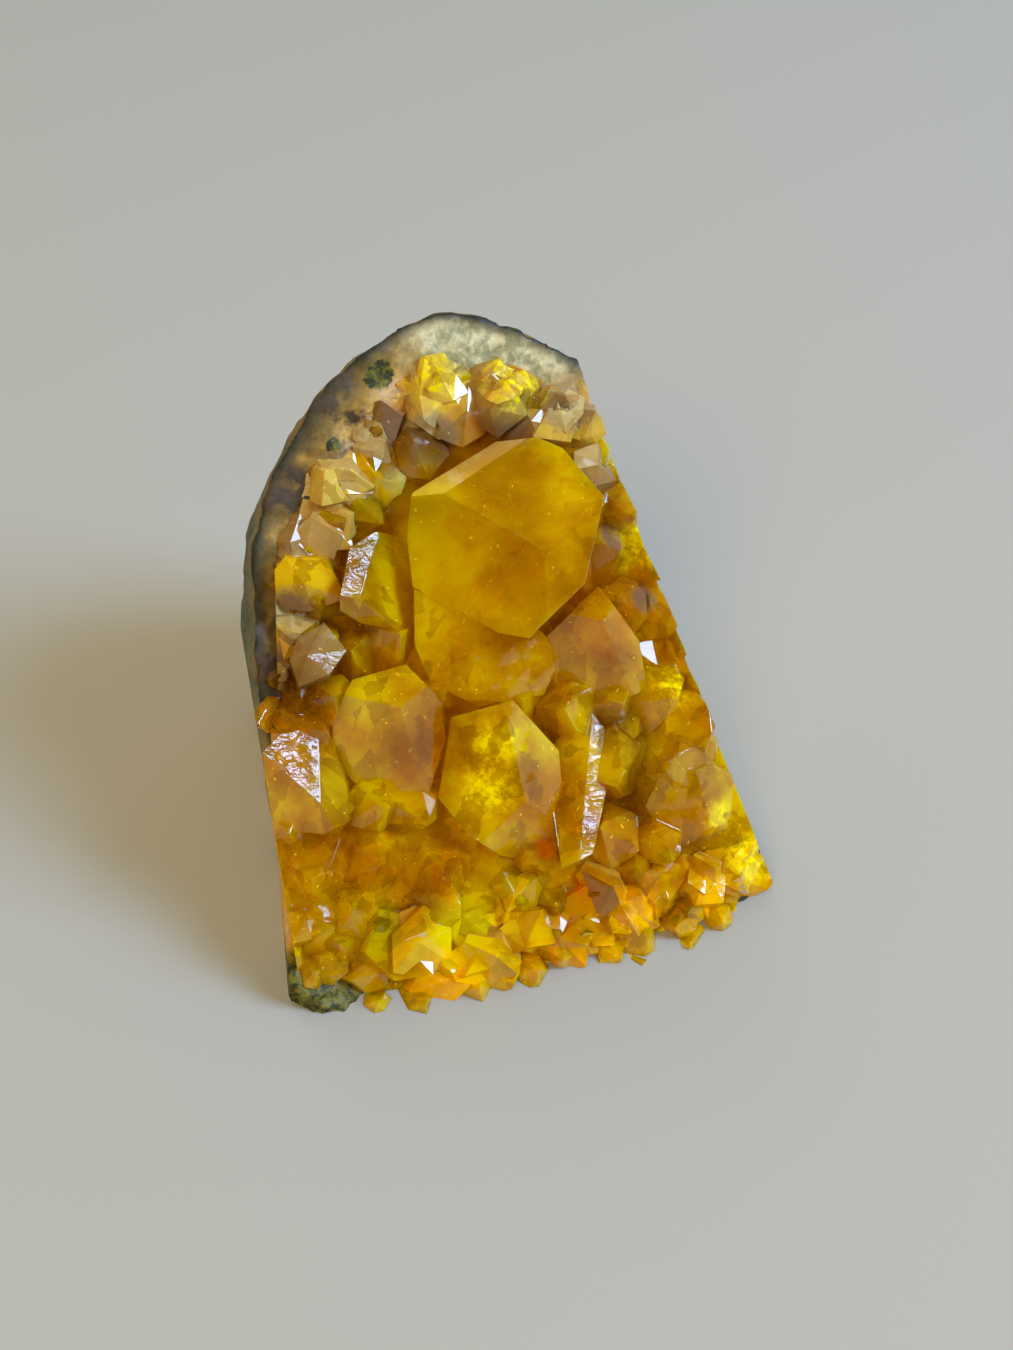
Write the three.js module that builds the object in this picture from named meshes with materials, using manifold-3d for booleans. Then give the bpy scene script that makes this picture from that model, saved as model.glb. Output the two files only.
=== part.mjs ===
// A cut-base citrine cluster: a wedge sawn out of a geode, with its rounded rock back and a sloping front of
// quartz crystals. Millimetres, +Z up, the sawn base on z = 0 and the crystals facing -Y.
//
// Two pieces are made. "matrix" is the geode's wall: green-grey rind outside, pale massive quartz inside.
// "crystals" is the citrine that grew from it, intergrown crystals joined into one solid.

import * as THREE from "three";
import { ConvexGeometry } from "three/addons/geometries/ConvexGeometry.js";
import { mergeVertices } from "three/addons/utils/BufferGeometryUtils.js";
import Module from "manifold-3d";

const wasm = await Module();
wasm.setup();

// ---------------------------------------------------------------- driving dimensions, mm and degrees

const SLOPE_FOOT = -36; // y where the front slope meets the base
const SLOPE = 57; // the front's rise from the base
const DOME_CENTRE = new THREE.Vector3(5.2, -1.5, 34);
const DOME_TOP = 54.6; // radii of the geode wall, from its centre
const DOME_BACK = 36.2;
const DOME_SIDE = 37.9;
const DOME_FOOT_SIDE = 45; // wider low down
const DOME_FRONT = 54;
const DOME_BELOW = 90; // nearly straight down to the base
const DOME_SQUARENESS = 2.45; // deep and up: 2 is an ellipsoid, more is boxier
const DOME_SHOULDER = 1.4; // the same across, for the sloping shoulders
const DOME_FOOT_SQUARENESS = 3.6; // and across, low down
const DOME_CROWN = 0.07; // rounds the crown between the shoulders
const DOME_WAIST = [-0.12, 0.35]; // downward slope of a direction over which high turns to low
const DOME_DETAIL = 13; // subdivisions of the balls that the rounded rock is shaped from
const LUMP_DETAIL = 6;
const RIND_LUMP = { height: 1.3, size: 17 }; // broad lumps on the rind
const RIND_GRAIN = { height: 0.5, size: 6 }; // finer unevenness on the rind
// Rind at the front left corner of the base.
const FOOT_LUMP = { centre: [-27, -26, 4], radii: [15, 18.5, 22], lumpSize: 9 };
// Sawn sides: where each meets the base at the slope's foot, its lean inwards and its turn about upright.
const LEFT_SAW = { x: -35.6, lean: 1.7, turn: 2.6 };
const RIGHT_SAW = { x: 45.9, lean: 14.8, turn: 0 };
const LUMP_SAW = { x: -37.6, lean: 7.5, turn: 6.5 }; // the foot lump stands a little proud of the left side
// The crystals are broken back at the front right corner: a point of the break, and the way it faces.
const BROKEN_CORNER = { at: [42.5, -38, 0], faces: [1, -0.75, 0] };
const SEAM_GAP = 0.3; // between the matrix and the crystals

const RIM_CENTRE = new THREE.Vector2(8, 45); // of the crystal field, on the front slope
const RIM_RADII = new THREE.Vector2(43, 50);
const RIM_SQUARENESS = 1.7;
const RIM_FLARE = { width: 12, over: 22 }; // the field runs off the sides below its middle
const BOWL_DEPTH = 12; // deepest seat of the crystals, below their crest
const BOWL_LIP = 1.02; // reach at which the bowl starts, and how much of the reach its side takes
const BOWL_SIDE = 0.4;
const LEAST_BOWL = 0.02; // of its depth, outside it
const BOWL_FOOT = { share: 0.4, up: [-6, 24] }; // the bowl is shallower at the foot of the slope
const SEAT_RELIEF = { size: 11, rim: 0.5, inside: 1.2 }; // unevenness of the crystals' seat
const FOOT_CREST = 10.8; // height the crystals reach at the foot, and how it falls away up the slope
const CREST_FALL = 0.09;
const CREST_SIDE = 0.25; // how much of the reach the crest takes to rise from the rim
const CREST_RIM = 1.1; // its height at the rim
const LEFT_FOOT = { fall: 3, across: [6, 30], up: [-25, 5] }; // the crest is lower at the foot's left end
// The rind comes up past the crystals at the foot's left corner.
const BARE_CORNER = { lean: 0.6, across: [24, 36], up: [-6, 2] };
const DRUSE_DEPTH = 4; // quartz that joins the crystals at their roots
const DRUSE_COVER = 4.2; // at least this far below the crystals' crest
const RELIEF_CELLS = [20, 24]; // of the seat's and druse's surfaces, across and up

const RHOMB_TILT = 51.8; // between a quartz tip's face normals and its long axis
const FIELD = { across: [-38, 48], up: [-7.5, 97] }; // where filling crystals may stand
const FIELD_REACH = { upper: 0.93, lower: 1.1 };
const FILLER_RADIUS = { least: 2.3, more: 3.2, foot: 0.25, up: [-4, 24], fromRim: [0.02, 0.5] };
const FILLER_VARIETY = [0.75, 1.3];
const FILLER_SINK = { least: 0.2, more: 2.6, up: [-8, 20] }; // of the filling crystals' tips below the crest
const FILLER_FAN = [120, 140]; // the crystals lean out from the field's middle, as if grown round a point
const FILLER_SPACING = 0.6; // of the two crystals' radii together
const SECOND_LENGTH = 24;
const FILLER_LENGTH = 9; // and the crystal's own thickness
const ATTEMPTS = 2400; // at placing a filling crystal
const SEED = 20;

// The largest crystals, in the front slope's frame: across, up and out. Each is a shaft with a many-sided
// outline, given where it crosses level, under flat tip faces. A face is its outward direction and how far
// past the tip it stands.
const SHAFT_LEAN = [-0.22, 0.27];
const SHAFT_LENGTH = 26;
const LEADERS = [
  {
    tip: [0.5, 74.3, 7.5],
    faces: [[-0.47, 0.01, 0.88, 0], [-0.04, 0.51, 0.86, 0], [-0.23, 0.84, 0.49, 0], [0.17, -0.05, 0.98, 9]],
    level: 10,
    outline: [[-5, 76.5], [9, 82], [15.5, 81], [19, 78.5], [24, 69.5], [19, 57], [9, 50.5], [4.5, 52.5],
      [-7.5, 62.5], [-7, 70]],
  },
  {
    tip: [1.5, 51, 7],
    faces: [[-0.3, 0.05, 0.95, 0], [0.25, -0.1, 0.96, 0], [0, -0.6, 0.8, 5]],
    level: 6,
    outline: [[-6.5, 61], [5.5, 55], [12.5, 50], [14.5, 45], [11, 40], [0.5, 40.5], [-6.5, 46], [-8, 52.5]],
  },
  {
    tip: [-12.5, 65, 5],
    faces: [[0.29, 0.33, 0.9, 0], [0.62, 0.05, 0.78, 0], [-0.1, -0.55, 0.83, 4]],
    level: 4,
    outline: [[-17.5, 59.5], [-14.5, 68.5], [-10.5, 70.5], [-6, 69], [-4.5, 59.5], [-8.5, 54], [-15, 57]],
  },
  {
    tip: [-12, 44, 8.5],
    faces: [[-0.35, -0.2, 0.92, 0], [0.35, -0.15, 0.92, 0], [0, 0.6, 0.8, 0]],
    level: 7,
    outline: [[-23, 43], [-18.5, 49.5], [-10, 50], [-5.5, 43.5], [-6, 36.5], [-10, 29], [-15.5, 29.5],
      [-21.5, 33], [-24, 37.5]],
  },
  {
    tip: [-26, 36, 7.5],
    faces: [[0.29, 0.33, 0.9, 0], [0.62, 0.2, 0.76, 0], [-0.45, -0.2, 0.87, 2.5]],
    level: 7,
    outline: [[-36, 39.5], [-30.5, 43.5], [-24, 43.5], [-22.5, 33.5], [-23, 27.5], [-27, 26.5], [-35, 29]],
  },
  {
    tip: [2.5, 34.5, 9.5],
    faces: [[-0.3, -0.05, 0.95, 0], [0.45, 0, 0.89, 1], [0, -0.4, 0.92, 4]],
    level: 8,
    outline: [[-4.5, 40.5], [5.5, 41], [11.5, 31], [10.5, 16], [4, 13], [-1, 16], [-6, 22], [-9, 28]],
  },
  {
    tip: [17.6, 30, 4.5],
    faces: [[0.29, 0.33, 0.9, 0], [-0.31, 0.53, 0.79, 0]],
    level: 7,
    outline: [[9.5, 31], [18, 36], [21.5, 29.5], [14.5, 13], [9, 12]],
  },
  {
    tip: [22, 50, 6.5],
    faces: [[-0.3, -0.3, 0.9, 0], [0.35, -0.1, 0.93, 0], [0, 0.4, 0.92, 0]],
    level: 6,
    outline: [[12.5, 49], [22.5, 55.5], [28, 45.5], [28.5, 37], [20, 35.5], [12, 40]],
  },
  {
    tip: [34.5, 18, 7],
    faces: [[-0.25, -0.1, 0.96, 0], [0.4, 0, 0.92, 0], [0.1, -0.5, 0.86, 3]],
    level: 6,
    outline: [[25, 17.5], [28, 22], [37.5, 22], [46, 15.5], [46, 6], [38, 1], [29, 7]],
  },
];

// Middling crystals of ordinary quartz habit. radius: axis to prism face. spin: turn about the axis.
const SECONDS = [
  { tip: [4, 89.5, 3], lean: [-0.2, 0.1], radius: 5, spin: 25 },
  { tip: [14, 86, 4], lean: [0.1, -0.1], radius: 5, spin: 0 },
  { tip: [22.5, 83.5, 3.5], lean: [0.3, 0.3], radius: 5.5, spin: 45 },
  { tip: [-2, 82.5, 3], lean: [-0.2, 0.4], radius: 4.5, spin: 10 },
  { tip: [26, 73, 5.5], lean: [0.25, 0.1], radius: 7, spin: 45 },
  { tip: [27, 60, 5], lean: [0.3, 0], radius: 6, spin: 20 },
  { tip: [-17, 53, 3], lean: [-0.2, 0.2], radius: 4.5, spin: 33 },
  { tip: [-26, 58, 1], lean: [-0.2, 0.2], radius: 3.5, spin: 5 },
  { tip: [-30, 51, 1.5], lean: [-0.3, 0.1], radius: 4.5, spin: 15 },
  { tip: [-33, 45, 3], lean: [-0.2, 0], radius: 4, spin: 50 },
  { tip: [33, 35, 5.5], lean: [0.3, 0.1], radius: 6.5, spin: 30 },
  { tip: [25, 29, 4], lean: [0.1, -0.1], radius: 5, spin: 12 },
  { tip: [30, 49, 4.5], lean: [0.4, 0], radius: 5, spin: 50 },
  { tip: [-30, 20, 7.5], lean: [-0.2, 0.1], radius: 6.5, spin: 18 },
  { tip: [-19.5, 20, 8], lean: [0.1, 0.15], radius: 7, spin: 48 },
  { tip: [-9, 15, 8.5], lean: [0.1, 0.2], radius: 6.5, spin: 30 },
  { tip: [1, 8.5, 9], lean: [0, 0.1], radius: 6, spin: 8 },
  { tip: [14, 6, 8.5], lean: [0.15, 0.1], radius: 6.5, spin: 40 },
  { tip: [25, 3, 8.5], lean: [0.1, 0], radius: 5.5, spin: 22 },
  { tip: [23, 16, 2], lean: [0.1, 0.2], radius: 5, spin: 3 },
  { tip: [39.5, 1, 8.5], lean: [0.3, -0.2], radius: 5, spin: 10 },
];

// ---------------------------------------------------------------- random numbers and relief

/** A repeatable random source, 0 to 1. */
function randomSource(seed) {
  let state = seed >>> 0;
  return () => {
    state = (state + 0x6d2b79f5) >>> 0;
    let t = Math.imul(state ^ (state >>> 15), 1 | state);
    t = (t + Math.imul(t ^ (t >>> 7), 61 | t)) ^ t;
    return ((t ^ (t >>> 14)) >>> 0) / 4294967296;
  };
}

/** A fixed random value, -1 to 1, for a point of the whole-number lattice. */
function latticeValue(i, j, k) {
  let h = Math.imul(i, 374761393) ^ Math.imul(j, 668265263) ^ Math.imul(k, 2147483647);
  h = Math.imul(h ^ (h >>> 13), 1274126177);
  return (((h ^ (h >>> 16)) >>> 0) / 4294967296) * 2 - 1;
}

/** Smooth relief, about -1 to 1, with features of the given size. */
function relief(point, size) {
  const farCorner = 100; // keeps the lattice's whole numbers above 0
  const [x, y, z] = point.toArray().map((c) => c / size + farCorner);
  const cell = [x, y, z].map(Math.floor);
  const share = [x, y, z].map((c, i) => ease(c - cell[i], [0, 1]));
  let sum = 0;
  for (let corner = 0; corner < 8; corner++) {
    const step = [corner & 1, (corner >> 1) & 1, (corner >> 2) & 1];
    const weight = step.reduce((w, s, i) => w * (s ? share[i] : 1 - share[i]), 1);
    sum += weight * latticeValue(cell[0] + step[0], cell[1] + step[1], cell[2] + step[2]);
  }
  return sum;
}

/** Eases from 0 to 1 as a value goes through a range. */
function ease(value, [from, to]) {
  return THREE.MathUtils.smoothstep(value, from, to);
}

// ---------------------------------------------------------------- solids

/** A three.js geometry as a manifold-3d solid. */
function solidOf(geometry) {
  const bare = geometry.index ? geometry.toNonIndexed() : geometry.clone();
  bare.deleteAttribute("normal");
  bare.deleteAttribute("uv");
  const merged = mergeVertices(bare, 1e-4);
  return new wasm.Manifold(
    new wasm.Mesh({
      numProp: 3,
      vertProperties: merged.attributes.position.array,
      triVerts: new Uint32Array(merged.index.array),
    }),
  );
}

/** A manifold-3d solid as a three.js geometry. */
function geometryOf(solid) {
  const mesh = solid.getMesh();
  const geometry = new THREE.BufferGeometry();
  geometry.setAttribute("position", new THREE.BufferAttribute(mesh.vertProperties, mesh.numProp));
  geometry.setIndex(new THREE.BufferAttribute(mesh.triVerts, 1));
  geometry.computeVertexNormals();
  return geometry;
}

/** A large block that fills everything on the far side of a plane: the waste that a saw cut takes off. */
function waste(point, outward) {
  const size = 300;
  const block = new THREE.BoxGeometry(size, size, size);
  block.translate(0, 0, size / 2);
  const turn = new THREE.Quaternion().setFromUnitVectors(new THREE.Vector3(0, 0, 1), outward);
  block.applyQuaternion(turn).translate(...point.toArray());
  return solidOf(block);
}

// ---------------------------------------------------------------- the front slope's own frame

const slopeAngle = THREE.MathUtils.degToRad(SLOPE);
const ACROSS = new THREE.Vector3(1, 0, 0);
const UP_SLOPE = new THREE.Vector3(0, Math.cos(slopeAngle), Math.sin(slopeAngle));
const OUT = new THREE.Vector3(0, -Math.sin(slopeAngle), Math.cos(slopeAngle));
const slopeFrame = new THREE.Matrix4().makeBasis(ACROSS, UP_SLOPE, OUT).setPosition(0, SLOPE_FOOT, 0);

/** Where a place on the front slope lies in the crystal field: 0 at its centre, 1 at its rim. */
function fieldReach(across, up) {
  const wide = RIM_RADII.x + RIM_FLARE.width * ease(RIM_CENTRE.y - up, [0, RIM_FLARE.over]);
  const a = Math.abs((across - RIM_CENTRE.x) / wide) ** RIM_SQUARENESS;
  const b = Math.abs((up - RIM_CENTRE.y) / RIM_RADII.y) ** RIM_SQUARENESS;
  return (a + (up > RIM_CENTRE.y ? b : 0)) ** (1 / RIM_SQUARENESS);
}

/** How far a place is from the rim and from the foot of the slope, 0 to 1: 1 is well inside the field. */
function bowl(across, up) {
  const fromRim = ease(BOWL_LIP - fieldReach(across, up), [0, BOWL_SIDE]);
  return fromRim * THREE.MathUtils.lerp(BOWL_FOOT.share, 1, ease(up, BOWL_FOOT.up));
}

/** The height that the crystals' tips reach. */
function crestLevel(across, up) {
  const nearRim = ease(1 - fieldReach(across, up), [0, CREST_SIDE]);
  const leftFoot = ease(-across, LEFT_FOOT.across) * ease(-up, LEFT_FOOT.up);
  const open = FOOT_CREST - CREST_FALL * up - LEFT_FOOT.fall * leftFoot;
  return up < RIM_CENTRE.y ? open : THREE.MathUtils.lerp(CREST_RIM, open, nearRim);
}

/** Height of the matrix under the crystals, against the slope. */
function seatLevel(across, up) {
  const inside = bowl(across, up);
  const rough = SEAT_RELIEF.rim + SEAT_RELIEF.inside * inside;
  const uneven = relief(new THREE.Vector3(across, up, 0), SEAT_RELIEF.size) * rough;
  const corner = ease(-across - BARE_CORNER.lean * up, BARE_CORNER.across) * ease(-up, BARE_CORNER.up);
  const seat = crestLevel(across, up) - BOWL_DEPTH * Math.max(inside, LEAST_BOWL) + uneven;
  return THREE.MathUtils.lerp(seat, FOOT_CREST - LEFT_FOOT.fall, corner);
}

/** Height of the quartz that joins the crystals' roots. */
function druseLevel(across, up) {
  return Math.min(seatLevel(across, up) + DRUSE_DEPTH, crestLevel(across, up) - DRUSE_COVER);
}

/** Everything in front of a surface over the slope, its height given by level(across, up). */
function inFrontOf(level) {
  const width = 130, length = 150, height = 90;
  const block = new THREE.BoxGeometry(width, length, height, ...RELIEF_CELLS, 1);
  block.translate(0, RIM_CENTRE.y, height / 2);
  const position = block.attributes.position;
  for (let i = 0; i < position.count; i++)
    if (position.getZ(i) < height / 2)
      position.setZ(i, level(position.getX(i), position.getY(i)));
  return solidOf(block.applyMatrix4(slopeFrame));
}

// ---------------------------------------------------------------- the matrix

/** How far the dome reaches from its centre along a unit direction. */
function domeReach({ x, y, z }) {
  const low = ease(-z, DOME_WAIST);
  const side = THREE.MathUtils.lerp(DOME_SIDE, DOME_FOOT_SIDE, low);
  const sideways = THREE.MathUtils.lerp(DOME_SHOULDER, DOME_FOOT_SQUARENESS, low);
  const depth = Math.abs(y) / (y < 0 ? DOME_FRONT : DOME_BACK);
  const height = Math.abs(z) / (z < 0 ? DOME_BELOW : DOME_TOP);
  const flat = Math.hypot(1, DOME_CROWN) - DOME_CROWN;
  let [near, far] = [0, 2 * DOME_BELOW];
  for (let halving = 0; halving < 40; halving++) {
    const reach = (near + far) / 2;
    const across = (Math.hypot((reach * x) / side, DOME_CROWN) - DOME_CROWN) / flat;
    const upright = (reach * depth) ** DOME_SQUARENESS + (reach * height) ** DOME_SQUARENESS;
    if (across ** sideways + upright > 1) far = reach;
    else near = reach;
  }
  return near;
}

/** A ball with each point moved by shape(point), which changes the point in place. */
function shapedBall(detail, shape) {
  const ball = new THREE.IcosahedronGeometry(1, detail);
  const position = ball.attributes.position;
  const point = new THREE.Vector3();
  for (let i = 0; i < position.count; i++) {
    shape(point.fromBufferAttribute(position, i));
    position.setXYZ(i, ...point.toArray());
  }
  return solidOf(ball);
}

/** The geode wall's whole outside, before it is sawn. */
function dome() {
  return shapedBall(DOME_DETAIL, (point) => {
    point.normalize();
    point.multiplyScalar(domeReach(point));
    const [lump, grain] = [RIND_LUMP, RIND_GRAIN].map(({ height, size }) => height * relief(point, size));
    point.setLength(point.length() + lump + grain).add(DOME_CENTRE);
  });
}

/** The lump of rind that stands at the front left corner of the base. */
function footLump() {
  const { centre, radii, lumpSize } = FOOT_LUMP;
  return shapedBall(LUMP_DETAIL, (point) => {
    point.multiply(new THREE.Vector3(...radii));
    const lump = RIND_LUMP.height * relief(point, lumpSize);
    point.setLength(point.length() + lump).add(new THREE.Vector3(...centre));
  });
}

/** What a saw takes off past a side. sign is -1 for the left and 1 for the right. */
function pastSide({ x, lean, turn }, sign) {
  const [rise, yaw] = [lean, turn].map(THREE.MathUtils.degToRad);
  const outward = new THREE.Vector3(sign * Math.cos(rise) * Math.cos(yaw), Math.sin(yaw), Math.sin(rise));
  return waste(new THREE.Vector3(x, SLOPE_FOOT, 0), outward.normalize());
}

/** What is sawn off below the base and past the right side. */
function sawnOff() {
  const below = waste(new THREE.Vector3(0, 0, 0), new THREE.Vector3(0, 0, -1));
  return below.add(pastSide(RIGHT_SAW, 1));
}

// ---------------------------------------------------------------- the crystals

/** The corners of the convex body inside the given planes, each { normal, reach }. */
function cornersInside(planes) {
  const corners = [];
  const rows = new THREE.Matrix3();
  for (let a = 0; a < planes.length; a++)
    for (let b = a + 1; b < planes.length; b++)
      for (let c = b + 1; c < planes.length; c++) {
        const [p, q, r] = [planes[a], planes[b], planes[c]];
        rows.set(...p.normal.toArray(), ...q.normal.toArray(), ...r.normal.toArray());
        if (Math.abs(rows.determinant()) < 1e-4) continue;
        const corner = new THREE.Vector3(p.reach, q.reach, r.reach).applyMatrix3(rows.invert());
        if (planes.every((plane) => plane.normal.dot(corner) < plane.reach + 1e-4)) corners.push(corner);
      }
  return corners;
}

/** A leading crystal, its shaft's sides parallel to SHAFT_LEAN. */
function leader({ tip, faces, level, outline }) {
  const apex = new THREE.Vector3(...tip);
  const along = new THREE.Vector3(...SHAFT_LEAN, 1).normalize();
  const planes = faces.map(([a, u, o, past]) => {
    return { normal: new THREE.Vector3(a, u, o).normalize(), reach: past };
  });
  const rim = outline.map(([a, u]) => new THREE.Vector3(a, u, level).sub(apex));
  const middle = rim.reduce((sum, point) => sum.add(point), new THREE.Vector3()).divideScalar(rim.length);
  rim.forEach((point, i) => {
    const normal = rim[(i + 1) % rim.length].clone().sub(point).cross(along).normalize();
    if (normal.dot(middle.clone().sub(point)) > 0) normal.negate();
    planes.push({ normal, reach: normal.dot(point) });
  });
  planes.push({ normal: along.clone().negate(), reach: SHAFT_LENGTH });
  const shape = new ConvexGeometry(cornersInside(planes));
  return solidOf(shape.translate(...tip).applyMatrix4(slopeFrame));
}

/** One quartz crystal of ordinary habit: a six-sided prism with a six-faced tip, pointing along lean. */
function quartz({ tip, lean, radius, spin, tipFaces, length }) {
  const axis = new THREE.Vector3(lean[0], lean[1], 1).normalize();
  const level = ACROSS.clone().addScaledVector(axis, -axis.x).normalize();
  const tilt = THREE.MathUtils.degToRad(RHOMB_TILT);
  const planes = [{ normal: axis.clone().negate(), reach: length }];
  for (let k = 0; k < 6; k++) {
    const outward = level.clone().applyAxisAngle(axis, THREE.MathUtils.degToRad(spin + 60 * k));
    planes.push({ normal: outward, reach: radius });
    const slanted = axis.clone().multiplyScalar(Math.cos(tilt)).addScaledVector(outward, Math.sin(tilt));
    planes.push({ normal: slanted, reach: tipFaces[k] * radius });
  }
  const shape = new ConvexGeometry(cornersInside(planes));
  return solidOf(shape.translate(...tip).applyMatrix4(slopeFrame));
}

/** Whether a place on the slope is inside a leading crystal's outline. */
function underLeader(across, up) {
  return LEADERS.some(({ outline }) => {
    let inside = false;
    outline.forEach(([a, u], i) => {
      const [b, v] = outline[(i + 1) % outline.length];
      if (u > up !== v > up && across < a + ((b - a) * (up - u)) / (v - u)) inside = !inside;
    });
    return inside;
  });
}

/** Typical crystal radius at a place: small along the rim and at the foot, larger in the middle. */
function fillerRadius(across, up) {
  const { least, more, foot, fromRim } = FILLER_RADIUS;
  const inwards = ease(1 - fieldReach(across, up), fromRim);
  return least + more * inwards * THREE.MathUtils.lerp(foot, 1, ease(up, FILLER_RADIUS.up));
}

/** Uneven growth of a crystal's six tip faces. */
function tipGrowth(random) {
  return [0, 1, 2, 3, 4, 5].map((k) => (k % 2 ? 0.1 : 0.3) * random());
}

/** Whether a filling crystal may stand at a place on the slope. */
function open(across, up) {
  const { lean, across: [, bare], up: [, low] } = BARE_CORNER;
  const limit = up > RIM_CENTRE.y ? FIELD_REACH.upper : FIELD_REACH.lower;
  const onRind = -across - lean * up > 0.75 * bare && up < 2 * low;
  return fieldReach(across, up) <= limit && !onRind && !underLeader(across, up);
}

/** A filling crystal at a place on the slope. */
function filler(across, up, radius, { tiltAcross, tiltUp, sink, turn }, random) {
  const depth = FILLER_SINK.least + FILLER_SINK.more * sink * ease(up, FILLER_SINK.up);
  const [fanAcross, fanUp] = FILLER_FAN;
  return {
    tip: [across, up, crestLevel(across, up) - depth],
    lean: [(RIM_CENTRE.x - across) / fanAcross + tiltAcross, (RIM_CENTRE.y - up) / fanUp + tiltUp],
    radius,
    spin: 60 * turn,
    tipFaces: tipGrowth(random),
    length: FILLER_LENGTH + 2 * radius,
  };
}

/** The smaller crystals that fill the field between the others. */
function fillers(random) {
  const placed = SECONDS.map(({ tip, radius }) => ({ at: tip, radius }));
  const found = [];
  for (let attempt = 0; attempt < ATTEMPTS; attempt++) {
    const across = THREE.MathUtils.lerp(...FIELD.across, random());
    const up = THREE.MathUtils.lerp(...FIELD.up, random());
    const radius = fillerRadius(across, up) * THREE.MathUtils.lerp(...FILLER_VARIETY, random());
    const chance = { tiltAcross: random() - 0.5, tiltUp: random() - 0.5, sink: random(), turn: random() };
    const apart = (other) => Math.hypot(across - other.at[0], up - other.at[1]);
    const crowded = placed.some((other) => apart(other) < FILLER_SPACING * (radius + other.radius));
    if (crowded || !open(across, up)) continue;
    placed.push({ at: [across, up], radius });
    found.push(filler(across, up, radius, chance, random));
  }
  return found;
}

/** A point of the field's rounded rim, at an angle about its centre. */
function rimPoint(angle) {
  const round = (value, radius) => Math.sign(value) * radius * Math.abs(value) ** (2 / RIM_SQUARENESS);
  const across = round(Math.cos(angle), RIM_RADII.x);
  return [RIM_CENTRE.x + across, RIM_CENTRE.y + round(Math.sin(angle), RIM_RADII.y)];
}

/** The quartz that joins all the crystals at their roots. */
function druse() {
  const rim = new THREE.Shape();
  const steps = 48;
  const below = -60; // past the base
  const [deep, thick] = [-40, 60];
  const wide = RIM_RADII.x + RIM_FLARE.width;
  rim.moveTo(RIM_CENTRE.x + wide, below);
  rim.lineTo(RIM_CENTRE.x + wide, RIM_CENTRE.y - 1);
  for (let i = 0; i <= steps; i++) rim.lineTo(...rimPoint((Math.PI * i) / steps));
  rim.lineTo(RIM_CENTRE.x - wide, RIM_CENTRE.y - 1);
  rim.lineTo(RIM_CENTRE.x - wide, below);
  const column = new THREE.ExtrudeGeometry(rim, { depth: thick, bevelEnabled: false });
  const field = solidOf(column.translate(0, 0, deep).applyMatrix4(slopeFrame));
  return field.subtract(inFrontOf(druseLevel));
}

/** What is broken off the crystals at the front right corner of the base. */
function brokenCorner() {
  const outward = new THREE.Vector3(...BROKEN_CORNER.faces).normalize();
  return waste(new THREE.Vector3(...BROKEN_CORNER.at), outward);
}

// ---------------------------------------------------------------- assembly

const offcuts = sawnOff();
const leftOffcut = pastSide(LEFT_SAW, -1);
const random = randomSource(SEED);

/** The geode wall behind the seat of the crystals. */
function makeMatrix() {
  const wall = dome().subtract(leftOffcut).add(footLump().subtract(pastSide(LUMP_SAW, -1)));
  return wall.subtract(inFrontOf(seatLevel)).subtract(offcuts);
}

/** All the crystals and the druse between them, trimmed to the sawn faces. */
function makeCrystals() {
  const seconds = SECONDS.map((second) => {
    return quartz({ tipFaces: tipGrowth(random), length: SECOND_LENGTH, ...second });
  });
  const small = fillers(random).map(quartz);
  const grown = wasm.Manifold.union([...LEADERS.map(leader), ...seconds, ...small, druse()]);
  const clear = inFrontOf((across, up) => seatLevel(across, up) + SEAM_GAP);
  const trimmed = grown.intersect(clear).subtract(offcuts).subtract(leftOffcut).subtract(brokenCorner());
  return trimmed.decompose().reduce((largest, body) => (body.volume() > largest.volume() ? body : largest));
}

const MATERIALS = {
  matrix: new THREE.MeshStandardMaterial({ color: 0x8f8b76, roughness: 0.85, metalness: 0 }),
  crystals: new THREE.MeshStandardMaterial({ color: 0xd8a106, roughness: 0.12, metalness: 0 }),
};

/** A named mesh of a solid. */
function piece(name, solid) {
  const mesh = new THREE.Mesh(geometryOf(solid), MATERIALS[name]);
  mesh.name = name;
  return mesh;
}

const cluster = new THREE.Group();
cluster.add(piece("matrix", makeMatrix()), piece("crystals", makeCrystals()));

// The origin is moved under the middle of the whole cluster.
const middle = new THREE.Box3().setFromObject(cluster).getCenter(new THREE.Vector3());
cluster.children.forEach((mesh) => mesh.geometry.translate(-middle.x, -middle.y, 0));

export default cluster;
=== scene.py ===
"""The looks of a cut-base citrine cluster: the geode wall's stone, the citrine grown from it, and its studio.

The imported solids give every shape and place. Metres, +Z up, the sawn base on z = 0 and the crystals facing -Y.
"""
import logging
import math
import random
from collections import Counter
from dataclasses import dataclass
from enum import Enum
from functools import partial
from typing import Callable, Iterable, Sequence

import bmesh
import bpy
from bmesh.types import BMesh, BMFace, BMVert
from bpy.types import Material, Node, NodeSocket, NodeTree, Object
from mathutils import Matrix, Quaternion, Vector, noise
from mathutils.bvhtree import BVHTree


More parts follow.
